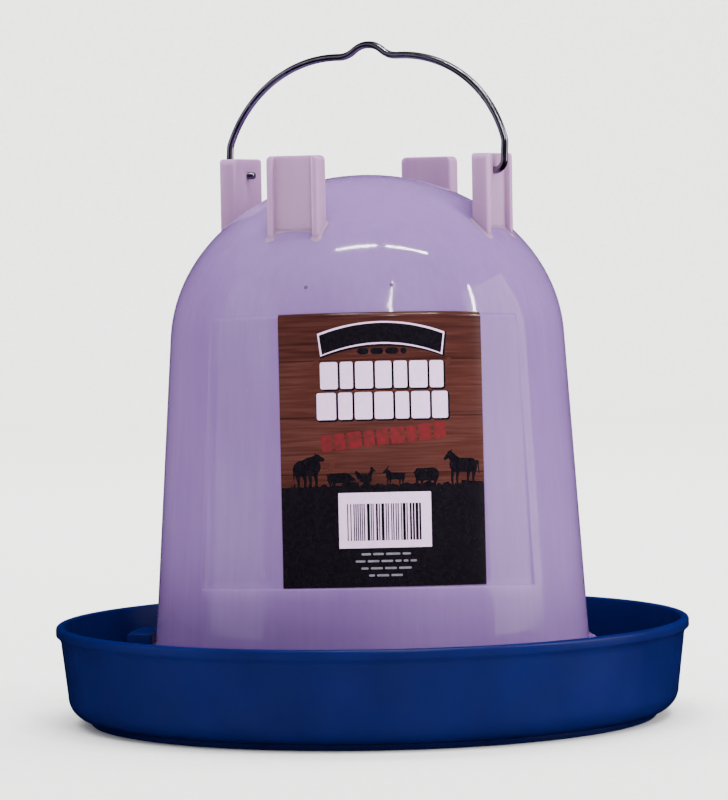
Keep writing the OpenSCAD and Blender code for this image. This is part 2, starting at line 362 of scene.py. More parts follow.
def natural_polyethylene(name, tint, deep_tint, scuffs):
    """Unpigmented moulded polyethylene: milky, lit from inside, with a glossy but slightly wavy skin."""
    material, tree, shader = new_material(name)
    # slow cloudiness of the wall, about 60 mm across
    cloud = add(tree, "ShaderNodeTexNoise", {"Vector": place(tree, (16, 16, 9)), "Scale": 1.0, "Detail": 3.0})
    # flow lines that run up from the open end, 3 mm apart and 60 mm long
    flow = add(tree, "ShaderNodeTexNoise",
               {"Vector": place(tree, (330, 330, 16)), "Scale": 1.0, "Detail": 4.0})
    mixed = add(tree, "ShaderNodeMath", {0: flow.outputs["Fac"], 1: 0.3, 2: cloud.outputs["Fac"]},
                operation="MULTIPLY_ADD")
    colour = add(tree, "ShaderNodeValToRGB", {"Fac": mixed.outputs[0]},
                 stops=[(0.42, srgb(deep_tint)), (0.86, srgb(tint))])
    tree.links.new(colour.outputs["Color"], shader.inputs["Base Color"])
    # rub marks from stacking and handling, about 0.7 mm apart and 11 mm long, in patches 40 mm across
    rubs = add(tree, "ShaderNodeTexNoise",
               {"Vector": place(tree, (1500, 1500, 90)), "Scale": 1.0, "Detail": 2.0})
    where = add(tree, "ShaderNodeTexNoise",
                {"Vector": place(tree, (28, 28, 20)), "Scale": 1.0, "Detail": 1.0})
    patch = add(tree, "ShaderNodeMapRange", {"Value": where.outputs["Fac"], "From Min": 0.5, "From Max": 0.66,
                                             "To Min": 0.0, "To Max": scuffs})
    lines = add(tree, "ShaderNodeMapRange",
                {"Value": rubs.outputs["Fac"], "From Min": 0.56, "From Max": 0.72})
    rubbed = add(tree, "ShaderNodeMath", {0: lines.outputs[0], 1: patch.outputs[0]}, operation="MULTIPLY")
    rough = add(tree, "ShaderNodeMapRange", {"Value": cloud.outputs["Fac"], "From Min": 0.3, "From Max": 0.7,
                                             "To Min": 0.045, "To Max": 0.08})
    rougher = add(tree, "ShaderNodeMath", {0: rubbed.outputs[0], 1: 0.3, 2: rough.outputs[0]},
                  operation="MULTIPLY_ADD")
    tree.links.new(rougher.outputs[0], shader.inputs["Roughness"])
    # skin waviness about 9 mm across, with the flow lines and rub marks on it
    wave = add(tree, "ShaderNodeTexNoise",
               {"Vector": place(tree, (110, 110, 70)), "Scale": 1.0, "Detail": 2.0})
    fine = add(tree, "ShaderNodeMath", {0: flow.outputs["Fac"], 1: 0.12, 2: wave.outputs["Fac"]},
               operation="MULTIPLY_ADD")
    rise = add(tree, "ShaderNodeMath", {0: rubbed.outputs[0], 1: 0.10, 2: fine.outputs[0]},
               operation="MULTIPLY_ADD")
    bump = add(tree, "ShaderNodeBump", {"Height": rise.outputs[0], "Strength": 0.25, "Distance": 0.10 * MM})
    tree.links.new(bump.outputs["Normal"], shader.inputs["Normal"])
    shader.inputs["IOR"].default_value = 1.51
    shader.inputs["Specular IOR Level"].default_value = 0.25
    shader.inputs["Subsurface Weight"].default_value = 0.55
    shader.inputs["Subsurface Radius"].default_value = (1.0, 0.85, 1.0)
    shader.inputs["Subsurface Scale"].default_value = 0.006
    return material


def blue_polyethylene():
    """Pigmented moulded polyethylene: deep even blue with a satin gloss and faint drag marks."""
    material, tree, shader = new_material("blue_moulded_polyethylene")
    # slow unevenness of the pigment, about 33 mm across
    cloud = add(tree, "ShaderNodeTexNoise",
                {"Vector": place(tree, (30, 30, 30)), "Scale": 1.0, "Detail": 3.0})
    colour = add(tree, "ShaderNodeValToRGB", {"Fac": cloud.outputs["Fac"]},
                 stops=[(0.3, srgb("000a42")), (0.7, srgb("000d4b"))])
    # dust and water film that dull the gloss, about 12 mm across
    film = add(tree, "ShaderNodeTexNoise", {"Vector": place(tree, (85, 85, 60)), "Scale": 1.0, "Detail": 5.0})
    rough = add(tree, "ShaderNodeMapRange", {"Value": film.outputs["Fac"], "From Min": 0.3, "From Max": 0.7,
                                             "To Min": 0.34, "To Max": 0.44})
    # small light specks, one every 25 mm or so and about 1 mm wide
    specks = add(tree, "ShaderNodeTexVoronoi", {"Vector": place(tree, (40, 40, 40)), "Scale": 1.0})
    speck = add(tree, "ShaderNodeMapRange", {"Value": specks.outputs["Distance"], "From Min": 0.010,
                                             "From Max": 0.022, "To Min": 0.5, "To Max": 0.0})
    mixed = add(tree, "ShaderNodeMix", {"Factor": speck.outputs[0], 6: colour.outputs["Color"],
                                        7: srgb("5068a8")}, data_type="RGBA")
    tree.links.new(mixed.outputs[2], shader.inputs["Base Color"])
    tree.links.new(rough.outputs[0], shader.inputs["Roughness"])
    # sink and flow in the wall, about 40 mm across, with a fine moulded skin of 1.1 mm on it
    sink = add(tree, "ShaderNodeTexNoise", {"Vector": place(tree, (25, 25, 40)), "Scale": 1.0, "Detail": 1.0})
    skin = add(tree, "ShaderNodeTexNoise",
               {"Vector": place(tree, (900, 900, 900)), "Scale": 1.0, "Detail": 2.0})
    height = add(tree, "ShaderNodeMath", {0: skin.outputs["Fac"], 1: 0.03, 2: sink.outputs["Fac"]},
                 operation="MULTIPLY_ADD")
    bump = add(tree, "ShaderNodeBump", {"Height": height.outputs[0], "Strength": 0.35, "Distance": 0.10 * MM})
    tree.links.new(bump.outputs["Normal"], shader.inputs["Normal"])
    shader.inputs["IOR"].default_value = 1.5
    shader.inputs["Specular IOR Level"].default_value = 0.14
    return material


def drawn_steel():
    """Bright drawn steel wire: die lines along the wire and a little dulling where it is handled."""
    material, tree, shader = new_material("bright_drawn_steel")
    shader.inputs["Metallic"].default_value = 1.0
    # die lines, drawn 0.3 mm apart so that they show
    lines = add(tree, "ShaderNodeTexNoise",
                {"Vector": place(tree, (3000, 3000, 60)), "Scale": 1.0, "Detail": 2.0})
    # dulling from handling, about 17 mm across
    dull = add(tree, "ShaderNodeTexNoise", {"Vector": place(tree, (60, 60, 60)), "Scale": 1.0, "Detail": 3.0})
    colour = add(tree, "ShaderNodeValToRGB", {"Fac": dull.outputs["Fac"]},
                 stops=[(0.35, srgb("6a6772")), (0.7, srgb("8f8c97"))])
    tree.links.new(colour.outputs["Color"], shader.inputs["Base Color"])
    rough = add(tree, "ShaderNodeMapRange", {"Value": dull.outputs["Fac"], "From Min": 0.3, "From Max": 0.7,
                                             "To Min": 0.18, "To Max": 0.30})
    tree.links.new(rough.outputs[0], shader.inputs["Roughness"])
    bump = add(tree, "ShaderNodeBump",
               {"Height": lines.outputs["Fac"], "Strength": 0.25, "Distance": 0.03 * MM})
    tree.links.new(bump.outputs["Normal"], shader.inputs["Normal"])
    return material


def film_gloss(tree, shader):
    """Gloss lamination on the printed film: nearly smooth, with soft creases about 14 mm apart."""
    crease = add(tree, "ShaderNodeTexNoise",
                 {"Vector": place(tree, (70, 70, 45)), "Scale": 1.0, "Detail": 3.0})
    rough = add(tree, "ShaderNodeMapRange", {"Value": crease.outputs["Fac"], "From Min": 0.3, "From Max": 0.7,
                                             "To Min": 0.14, "To Max": 0.22})
    tree.links.new(rough.outputs[0], shader.inputs["Roughness"])
    bump = add(tree, "ShaderNodeBump",
               {"Height": crease.outputs["Fac"], "Strength": 0.3, "Distance": 0.10 * MM})
    tree.links.new(bump.outputs["Normal"], shader.inputs["Normal"])
    shader.inputs["IOR"].default_value = 1.5
    shader.inputs["Specular IOR Level"].default_value = 0.20


def printed_boards():
    """Printed picture of rough boards under gloss film, laid out in the label's own millimetres."""
    material, tree, shader = new_material("printed_board_film")
    spot = add(tree, "ShaderNodeTexCoord").outputs["UV"]
    flat = add(tree, "ShaderNodeMapping", {"Vector": spot, "Scale": (LABEL_W, LABEL_H, 1)}).outputs["Vector"]
    parts = add(tree, "ShaderNodeSeparateXYZ", {"Vector": flat})
    # boards 24 mm wide
    board = add(tree, "ShaderNodeMath", {0: parts.outputs["Y"], 1: 24.0}, operation="DIVIDE")
    number = add(tree, "ShaderNodeMath", {0: board.outputs[0]}, operation="FLOOR")
    part = add(tree, "ShaderNodeMath", {0: board.outputs[0]}, operation="FRACT")
    shade = add(tree, "ShaderNodeTexWhiteNoise", {"W": number.outputs[0]}, noise_dimensions="1D")
    # grain lines 1.5 mm apart along the boards
    along = add(tree, "ShaderNodeMapping", {"Vector": flat, "Scale": (0.035, 0.7, 1)}).outputs["Vector"]
    grain = add(tree, "ShaderNodeTexNoise", {"Vector": along, "Scale": 1.0, "Detail": 6.0, "Distortion": 0.4})
    tone = add(tree, "ShaderNodeMath", {0: shade.outputs["Value"], 1: 0.16, 2: grain.outputs["Fac"]},
               operation="MULTIPLY_ADD")
    colour = add(tree, "ShaderNodeValToRGB", {"Fac": tone.outputs[0]},
                 stops=[(0.3, srgb("2b1514")), (0.85, srgb("4e2c28")), (0.55, srgb("3e201c"))])
    # knots, one every 20 to 30 mm
    knots = add(tree, "ShaderNodeTexVoronoi", {"Vector": add(tree, "ShaderNodeMapping", {
        "Vector": flat, "Scale": (0.036, 0.05, 1)}).outputs["Vector"], "Scale": 1.0})
    knot = add(tree, "ShaderNodeMapRange", {"Value": knots.outputs["Distance"], "From Min": 0.03,
                                            "From Max": 0.12, "To Min": 0.85, "To Max": 0.0})
    knotted = add(tree, "ShaderNodeMix", {"Factor": knot.outputs[0], 6: colour.outputs["Color"],
                                          7: srgb("1f0e0b")}, data_type="RGBA")
    # dark joint between boards, 0.5 mm wide
    edge = add(tree, "ShaderNodeMath", {0: part.outputs[0], 1: 0.5}, operation="SUBTRACT")
    away = add(tree, "ShaderNodeMath", {0: edge.outputs[0]}, operation="ABSOLUTE")
    joint = add(tree, "ShaderNodeMapRange", {"Value": away.outputs[0], "From Min": 0.482, "From Max": 0.496,
                                             "To Min": 0.0, "To Max": 0.75})
    boards = add(tree, "ShaderNodeMix", {"Factor": joint.outputs[0], 6: knotted.outputs[2],
                                         7: srgb("1c0d0b")}, data_type="RGBA")
    tree.links.new(boards.outputs[2], shader.inputs["Base Color"])
    film_gloss(tree, shader)
    return material


def printing_ink(name, code, second):
    """Flat ink under the same gloss film, very slightly mottled by the press."""
    material, tree, shader = new_material(name)
    # press mottle, 2 mm across
    mottle = add(tree, "ShaderNodeTexNoise",
                 {"Vector": place(tree, (500, 500, 500)), "Scale": 1.0, "Detail": 2.0})
    colour = add(tree, "ShaderNodeValToRGB", {"Fac": mottle.outputs["Fac"]},
                 stops=[(0.3, srgb(code)), (0.7, srgb(second))])
    tree.links.new(colour.outputs["Color"], shader.inputs["Base Color"])
    film_gloss(tree, shader)
    return material


def studio_paper():
    """Matt painted floor and backdrop with a faint roller stipple, about 4 mm across."""
    material, tree, shader = new_material("pale_studio_floor")
    stipple = add(tree, "ShaderNodeTexNoise",
                  {"Vector": place(tree, (240, 240, 240)), "Scale": 1.0, "Detail": 3.0})
    colour = add(tree, "ShaderNodeValToRGB", {"Fac": stipple.outputs["Fac"]},
                 stops=[(0.3, srgb("eeefeb")), (0.7, srgb("f7f8f5"))])
    tree.links.new(colour.outputs["Color"], shader.inputs["Base Color"])
    bump = add(tree, "ShaderNodeBump",
               {"Height": stipple.outputs["Fac"], "Strength": 0.3, "Distance": 0.3 * MM})
    tree.links.new(bump.outputs["Normal"], shader.inputs["Normal"])
    shader.inputs["Roughness"].default_value = 0.9
    return material


BELL_SKIN = natural_polyethylene("natural_polyethylene_wall", "7e6298", "70548a", 0.9)
# the feet take a lighter copy of the wall plastic: painted light for the solid feet, which scatter more light
# back than the thin wall does
FOOT_SKIN = natural_polyethylene("natural_polyethylene_feet_painted_lighter", "9f7ca0", "937097", 0.4)
PIP_SKIN = natural_polyethylene("natural_polyethylene_pips", "5d4a78", "53406c", 0.0)
BLUE = blue_polyethylene()
STEEL = drawn_steel()
BOARDS = printed_boards()
BLACK_INK = printing_ink("black_ink_film", "0d0a10", "130f16")
WHITE_INK = printing_ink("white_ink_film", "e0bfe6", "d8b6de")
RED_INK = printing_ink("faded_red_ink_film", "6a1a24", "4a2220")
GREY_INK = printing_ink("grey_ink_film", "77707e", "645d6b")
PAPER = studio_paper()


# ---------------------------------------------------------------- bell

def wall_r(z):
    return BELL_R - (z - BASE_Z) * SLOPE


DOME_REACH = wall_r(DOME_Z)


def dome_axes(inset):
    """Height and radius of the dome's ellipse, and the angle where it takes over from the wall."""
    height = DOME_H - inset
    reach = DOME_REACH - inset / math.cos(DRAFT)
    radius = math.sqrt(reach ** 2 - (height * SLOPE) ** 2)
    return height, radius, math.asin(height * SLOPE / reach)


def skin_r(z, inset=0.0):
    """Radius of the plain bell at a height, wall or dome."""
    height, radius, start = dome_axes(inset)
    if z <= DOME_Z + height * math.sin(start):
        return wall_r(z) - inset / math.cos(DRAFT)
    return radius * math.sqrt(max(0.0, 1 - ((z - DOME_Z) / height) ** 2))


def dome_height(r):
    """Height of the dome's outside at a radius."""
    height, radius, _ = dome_axes(0.0)
    return DOME_Z + height * math.sqrt(max(0.0, 1 - (r / radius) ** 2))


SIDE_EDGE = 1.1
LEDGE_LOW = 0.9
LEDGE_TOP = 1.7


def panel_dip(direction, z):
    """How far a line that is square to the panel's middle has dropped at a direction."""
    return wall_r(z) * (1 - math.cos(math.radians(off_centre(direction, PANEL_AT)))) * SLOPE


def panel_share(direction, z):
    """1 on the panel and 0 off it; z is the height at the panel's middle line."""
    sides = within(direction, PANEL_AT, PANEL_SPAN, SIDE_EDGE)
    low = ease((z - PANEL_Z) / LEDGE_LOW + 0.5)
    top = ease((PANEL_TOP - z) / LEDGE_TOP + 0.5)
    return sides * low * top


def panel_r(z):
    depth = PANEL_DEPTH + (PANEL_DEPTH_TOP - PANEL_DEPTH) * (z - PANEL_Z) / (PANEL_TOP - PANEL_Z)
    return wall_r(z) - depth


def panel_face_r(direction, z):
    """Radius of the panel's face, which bends over the upper ledge on to the dome."""
    level = max(z + panel_dip(direction, z), PANEL_Z + LEDGE_LOW)
    share = panel_share(direction, level)
    return skin_r(z) + share * (panel_r(z) - skin_r(z))


def bell_shape(direction, r, z):
    """Sinks the panel, opens the flange for the lugs and cuts the two water ports."""
    if z > FLANGE_TOP + 10:
        near = 1 - ease((abs(off_centre(direction, PANEL_AT)) - PANEL_SPAN / 2 - 1.5) / 30)
        level = ease((z - PANEL_Z + 22) / 18) * (1 - ease((z - PANEL_TOP - 3) / 16))
        inside = r < skin_r(z) - BELL_WALL / 2
        if inside:
            return r, z
        moved = z - panel_dip(direction, z) * near * level
        share = panel_share(direction, z) if near * level > 0.999 else 0.0
        return skin_r(moved) + share * (panel_r(moved) - skin_r(moved)), moved
    for i in range(LUG_N):
        notch = within(direction, LUG_AT - UNLOCK_TURN + i * 360 / LUG_N, LUG_SPAN + 2.4, 0.5)
        if r > BELL_R:
            r += notch * (BELL_R + 0.02 - r)
    port_span = 2 * math.degrees(math.asin(PORT_W / 2 / BELL_R))
    port = max(within(direction, side, port_span, 0.4) for side in (0, 180))
    if port > 0 and z < BASE_Z + PORT_H:
        z += port * (BASE_Z + PORT_H - z)
        if r > wall_r(z):
            r += port * (wall_r(z) - r)
    return r, z


def bell_profile():
    """From the inner crown down inside, across the open end and up outside to the outer crown."""
    inner_height, inner_radius, inner_start = dome_axes(BELL_WALL)
    start = math.degrees(inner_start)
    inner = [(inner_radius * math.cos(math.radians(a)), DOME_Z + inner_height * math.sin(math.radians(a)))
             for a in [90 - (90 - start) * i / 36 for i in range(37)]]
    inner[0] = (0, inner[0][1])
    inner += [(skin_r(z, BELL_WALL), z) for z in (150, 130, 110, 90, 70, 55, 45, 38, 34, BASE_Z + 0.6)]
    edge = [(skin_r(BASE_Z, BELL_WALL) + 0.5, BASE_Z), (BELL_R, BASE_Z)]
    flange_r = BELL_R + FLANGE_W
    root = wall_r(FLANGE_TOP + FLANGE_FILLET)
    edge += arc(flange_r - FLANGE_ROUND, BASE_Z + FLANGE_ROUND, FLANGE_ROUND, -90, 0, 5)
    edge += arc(flange_r - FLANGE_ROUND, FLANGE_TOP - FLANGE_ROUND, FLANGE_ROUND, 0, 90, 5)
    edge += arc(root + FLANGE_FILLET, FLANGE_TOP + FLANGE_FILLET, FLANGE_FILLET, 270, 180, 7)
    heights = [FLANGE_TOP + FLANGE_FILLET + step for step in (2, 5)]
    heights += [43 + 4 * i for i in range(5)]
    heights += [PANEL_Z + LEDGE_LOW * (k / 6 - 0.5) for k in range(7)]
    heights += [PANEL_Z + 4 + 4.5 * i for i in range(22)]
    height, radius, start = dome_axes(0.0)
    bare = [DOME_Z + height * math.sin(start + (math.pi / 2 - start) * i / 56) for i in range(56)]
    ledge = [PANEL_TOP + LEDGE_TOP * (k / 8 - 0.5) for k in range(9)]
    heights += [z for z in bare if abs(z - PANEL_TOP) > LEDGE_TOP]
    heights = sorted([z for z in heights if abs(z - PANEL_TOP) > LEDGE_TOP] + ledge)
    outer = [(skin_r(z), z) for z in heights] + [(0, DOME_Z + DOME_H)]
    return inner + edge + outer


def build_bell():
    port_span = 2 * math.degrees(math.asin(PORT_W / 2 / BELL_R))
    fine = sector_lines(PANEL_AT, PANEL_SPAN, SIDE_EDGE, 6)
    for side in (0, 180):
        fine += sector_lines(side, port_span, 0.4)
    for i in range(LUG_N):
        fine += sector_lines(LUG_AT - UNLOCK_TURN + i * 360 / LUG_N, LUG_SPAN + 2.4, 0.5)
    bell = lathe("bell_wall_and_dome", bell_profile(), turn_of(fine, 180), BELL_SKIN, bell_shape, crease=50)
    ride_as(bell, "bell", "bell_plastic", "fount_bell")


def foot_outline():
    half = FOOT_W / 2
    slot = half - FOOT_RIB
    points = arc(FOOT_IN + 1, -half + 1, 1, 180, 270, 4) + arc(FOOT_R - 1, -half + 1, 1, 270, 360, 4)
    points += [(FOOT_R, -slot)] + arc(FOOT_R - FOOT_CHANNEL + 0.6, -slot + 0.6, 0.6, 270, 180, 4)
    points += arc(FOOT_R - FOOT_CHANNEL + 0.6, slot - 0.6, 0.6, 180, 90, 4) + [(FOOT_R, slot)]
    return points + arc(FOOT_R - 1, half - 1, 1, 0, 90, 4) + arc(FOOT_IN + 1, half - 1, 1, 90, 180, 4)


def rounded_top():
    """The foot seen from outside: a plate with its two top corners rounded."""
    half = FOOT_W / 2
    points = [(-half - 1, DOME_Z - 5), (half + 1, DOME_Z - 5), (half + 1, FOOT_TOP - FOOT_ROUND - 1)]
    points += [(half, FOOT_TOP - FOOT_ROUND)]
    points += arc(half - FOOT_ROUND, FOOT_TOP - FOOT_ROUND, FOOT_ROUND, 0, 90, 8)
    points += arc(-half + FOOT_ROUND, FOOT_TOP - FOOT_ROUND, FOOT_ROUND, 90, 180, 8)
    return points + [(-half, FOOT_TOP - FOOT_ROUND), (-half - 1, FOOT_TOP - FOOT_ROUND - 1)]


def build_foot(number, direction, bored):
    sunk = 1.2
    foot = prism(f"standing_foot_{number}", foot_outline(), lambda x, y: dome_height(math.hypot(x, y)) - sunk,
                 FOOT_TOP, FOOT_SKIN, lambda x, y, h: across(direction, x, y, h))
    plate = prism("plate", rounded_top(), FOOT_IN - 2, FOOT_R + 2, FOOT_SKIN,
                  lambda x, y, h: across(direction, h, x, y))
    cut(foot, plate, "INTERSECT")
    if bored:
        hole = prism("hole", arc(0, 0, HOLE_D / 2, 0, 360 - 15, 23), FOOT_IN - 3, FOOT_R + 3, FOOT_SKIN,
                     lambda x, y, h: across(direction, h, x, HOLE_Z + y))
        cut(foot, hole, "DIFFERENCE")
    soften(foot, 0.45)
    ride_as(foot, "bell", "bell_plastic")


def build_foot_fillet(number, direction):
    """The small moulded fillet where a foot grows out of the dome."""
    radius = 1.4
    steps = 5
    outline = foot_outline()
    n = len(outline)
    verts = []
    for i, (x, y) in enumerate(outline):
        before = Vector(outline[i - 1])
        after = Vector(outline[(i + 1) % n])
        run = (after - before).normalized()
        away = Vector((run.y, -run.x))
        for k in range(steps + 1):
            turn = math.pi / 2 * k / steps
            out = radius * (1 - math.sin(turn)) - 0.03
            up = radius * (1 - math.cos(turn))
            px, py = x + away.x * out, y + away.y * out
            verts.append(across(direction, px, py, dome_height(math.hypot(px, py)) + up - 0.04))
        verts.append(across(direction, x - away.x * 0.3, y - away.y * 0.3,
                            dome_height(math.hypot(x, y)) - 0.5))
    ring = steps + 2
    faces = []
    for i in range(n):
        j = (i + 1) % n
        for k in range(ring):
            m = (k + 1) % ring
            faces.append((i * ring + k, j * ring + k, j * ring + m, i * ring + m))
    fillet = mesh_object(f"foot_fillet_{number}", verts, faces, FOOT_SKIN)
    ride_as(fillet, "bell", "bell_plastic")


def build_feet():
    for i in range(4):
        direction = FOOT_AT + i * 90
        build_foot(i + 1, direction, bored=i in (1, 3))
        build_foot_fillet(i + 1, direction)


def build_pips():
    """Two small moulding pips low on the front of the dome."""
    for number, (side, z) in enumerate(((-31.0, 192.0), (5.0, 192.5)), 1):
        r = skin_r(z)
        direction = math.degrees(math.asin(side / r))
        slant = math.atan2(r / dome_axes(0.0)[1] ** 2, (z - DOME_Z) / DOME_H ** 2)
        verts = [across(direction, r + 0.25 * math.sin(slant), 0, z + 0.25 * math.cos(slant))]
        rings = 4
        around = 16
        for k in range(1, rings + 1):
            reach = 0.85 * k / rings
            rise = 0.25 * math.cos(math.pi / 2 * k / rings) - 0.02
            for m in range(around):
                a = 2 * math.pi * m / around
                up = reach * math.sin(a)
                verts.append(across(direction, r - up * math.cos(slant) + rise * math.sin(slant),
                                    reach * math.cos(a), z + up * math.sin(slant) + rise * math.cos(slant)))
        faces = [(0, 1 + m, 1 + (m + 1) % around) for m in range(around)]
        for k in range(rings - 1):
            for m in range(around):
                a, b = 1 + k * around + m, 1 + k * around + (m + 1) % around
                faces.append((a, a + around, b + around, b))
        faces.append(tuple(1 + (rings - 1) * around + m for m in range(around)))
        ride_as(mesh_object(f"moulding_pip_{number}", verts, faces, PIP_SKIN), "bell", "bell_plastic")


# ---------------------------------------------------------------- pan

def pan_profile():
    """From the seat's underside, round the standing ring, wall and lip, to the seat's middle."""
    ring_out = WALL_FOOT - CORNER_R
    inner_corner = CORNER_R - PAN_WALL
    flare_z = LIP_Z - STEP_H - FLARE_H / 2
    points = [(0, SEAT_H - PAN_WALL)]
    points += arc(RISER_R - PAN_WALL - 1.5, SEAT_H - PAN_WALL - 1.5, 1.5, 90, 0, 4)
    points.append((RISER_FOOT - PAN_WALL, RING_H + 0.8))
    points += arc(RISER_FOOT - PAN_WALL + 0.8, RING_H + 0.8, 0.8, 180, 270, 3)
    points += [(ring_out - RING_W, RING_H)] + arc(ring_out - RING_W + 0.5, 0.5, 0.5, 180, 270, 3)
    points += arc(ring_out - 0.5, 0.5, 0.5, 270, 360, 3) + [(ring_out, RING_H - 0.1)]
    points += arc(WALL_FOOT - CORNER_R, RING_H + CORNER_R, CORNER_R, -84, 0, 14)
    points += arc(WALL_TOP - 0.2 + FLARE_H, flare_z, FLARE_H, 180, 152, 6)
    points += [(LIP_R - 1.25, LIP_Z - STEP_H), (LIP_R - 1.05, LIP_Z - 0.5)]
    points += arc(LIP_R - 0.5, LIP_Z + 0.45, 0.5, 240, 360, 5)
    points += arc(LIP_R - 1.6, PAN_H - 1.6, 1.6, 0, 90, 8)
    points += arc(LIP_R - 2.6, PAN_H - 1.2, 1.2, 90, 170, 6)
    points += [(WALL_TOP - PAN_WALL, flare_z)]
    points += arc(WALL_FOOT - CORNER_R, FLOOR_Z + inner_corner, inner_corner, 0, -90, 10)
    points += arc(RISER_FOOT + 1.4, FLOOR_Z + 1.5, 1.5, 270, 184, 5)
    points += arc(RISER_R - 1, SEAT_H - 1, 1, 0, 90, 6)
    return points + [(RISER_R * 0.6, SEAT_H), (0, SEAT_H)]


def lug_outline():
    points = [(RISER_R - 0.6, FLOOR_Z - 1), (LUG_R + 0.9, FLOOR_Z - 1)]
    points += arc(LUG_R - 1.8, HOOK_TOP - 1.8, 1.8, 0, 90, 6)
    points += arc(HOOK_R + 1, HOOK_TOP - 1, 1, 90, 180, 5)
    return points + [(HOOK_R, HOOK_Z + 0.4), (HOOK_R + 0.4, HOOK_Z),
                     (RISER_R, HOOK_Z), (RISER_R - 0.6, SEAT_H - 2)]


def build_pan():
    directions = turn_of([], 200)
    pan = lathe("drinking_pan_shell", pan_profile(), directions, BLUE, crease=38)
    ride_as(pan, "pan", "pan_plastic", "drinking_pan")
    for i in range(LUG_N):
        lug = sector_block(f"bayonet_lug_{i + 1}", lug_outline(), LUG_AT + i * 360 / LUG_N, LUG_SPAN, BLUE)
        soften(lug, 0.7)
        ride_as(lug, "pan", "pan_plastic")
    hub = RISER_R * 0.19
    rib_z = SEAT_H - PAN_WALL - RIB_H
    for i in range(6):
        direction = i * 60 + LUG_AT + 30
        half = RIB_T / 2
        side = [(-half, rib_z), (half, rib_z),
                (half * 1.2, SEAT_H - PAN_WALL + 0.3), (-half * 1.2, SEAT_H - PAN_WALL + 0.3)]
        rib = prism(f"seat_rib_{i + 1}", side, hub, RISER_R - PAN_WALL - 0.2, BLUE,
                    lambda x, y, h, d=direction: across(d, h, x, y))
        soften(rib, 0.4)
        ride_as(rib, "pan", "pan_plastic")
    ring = [(hub - 1, rib_z), (hub + 1, rib_z),
            (hub + 1.2, SEAT_H - PAN_WALL + 0.3), (hub - 1.2, SEAT_H - PAN_WALL + 0.3)]
    collar = lathe("seat_hub", ring + ring[:1], turn_of([], 48), BLUE)
    soften(collar, 0.4)
    ride_as(collar, "pan", "pan_plastic")


# ---------------------------------------------------------------- bail

def bail_line():
    """Half of the wire's centreline from apex to tail: (x, z) above the hinge line, and its heading."""
    line = [(0.0, BAIL_RISE, 0.0)]

    def bend(radius, turn, n):
        x, z, start = line[-1]
        r = radius if turn > 0 else -radius
        for i in range(1, n + 1):
            h = start + turn * i / n
            line.append((x + r * (math.sin(h) - math.sin(start)), z + r * (math.cos(h) - math.cos(start)), h))

    def run(length):
        x, z, h = line[-1]
        line.append((x + length * math.cos(h), z - length * math.sin(h), h))

    arch_w = LEG_X - 2 * BUMP_R * math.sin(BUMP_TURN) - BUMP_RUN
    arch_h = BAIL_RISE - 2 * BUMP_R * (1 - math.cos(BUMP_TURN)) - LEG_RUN - BEND_R
    arch_turn = 2 * math.atan((arch_h - KINK_R) / (arch_w - KINK_R))
    arch_r = KINK_R + (arch_w - KINK_R) / math.sin(arch_turn)
    bend(BUMP_R, BUMP_TURN, 10)
    bend(BUMP_R, -BUMP_TURN, 10)
    run(BUMP_RUN)
    bend(arch_r, arch_turn, 40)
    bend(KINK_R, math.pi / 2 - arch_turn, 8)
    run(LEG_RUN)
    bend(BEND_R, math.pi / 2, 12)
    run(LEG_X - BEND_R - FOOT_IN + TAIL_OUT - 0.5)
    return line


def build_bail():
    half = bail_line()
    line = [(-x, z, -h) for x, z, h in half[:0:-1]] + half
    sides = 24
    radius = WIRE_D / 2
    stations = [(s, radius) for s in line]
    # sheared ends with a small chamfer
    for end, sign in ((0, -1), (-1, 1)):
        x, z, h = line[end]
        tip = (x + sign * 0.5 * math.cos(h), z - sign * 0.5 * math.sin(h), h)
        if sign < 0:
            stations.insert(0, (tip, radius - 0.4))
        else:
            stations.append((tip, radius - 0.4))
    lean = Matrix.Rotation(-BAIL_LEAN, 3, Vector(towards(HINGE_AT, 1, 0)))
    verts = []
    for (x, z, h), r in stations:
        for k in range(sides):
            a = 2 * math.pi * k / sides
            out = r * math.cos(a)
            point = Vector(across(HINGE_AT, x + out * math.sin(h), r * math.sin(a), z + out * math.cos(h)))
            verts.append(tuple(lean @ point + Vector((0, 0, HOLE_Z))))
    faces = [tuple(range(sides))[::-1], tuple((len(stations) - 1) * sides + k for k in range(sides))]
    for j in range(len(stations) - 1):
        for k in range(sides):
            m = (k + 1) % sides
            faces.append((j * sides + k, j * sides + m, (j + 1) * sides + m, (j + 1) * sides + k))
    bail = mesh_object("bail_wire", verts, faces, STEEL)
    ride_as(bail, "bail", "bail_wire", "wire_bail")


# ---------------------------------------------------------------- label

FILM_LIFT = 0.30
PRINT_STEP = 0.035


def on_bell(u, v, lift):
    """A point of the flat label, u across and v up from its lower edge, wrapped on to the bell."""
    foot = wall_r(LABEL_Z) / math.sin(DRAFT)
    slant = math.hypot(u, foot - v)
    direction = math.degrees(math.atan2(u, foot - v) / math.sin(DRAFT))
    z = BASE_Z + (BELL_R - slant * math.sin(DRAFT)) / SLOPE
    r = panel_face_r(direction, z) + lift * math.cos(DRAFT)
    return towards(direction, r, z + lift * math.sin(DRAFT))


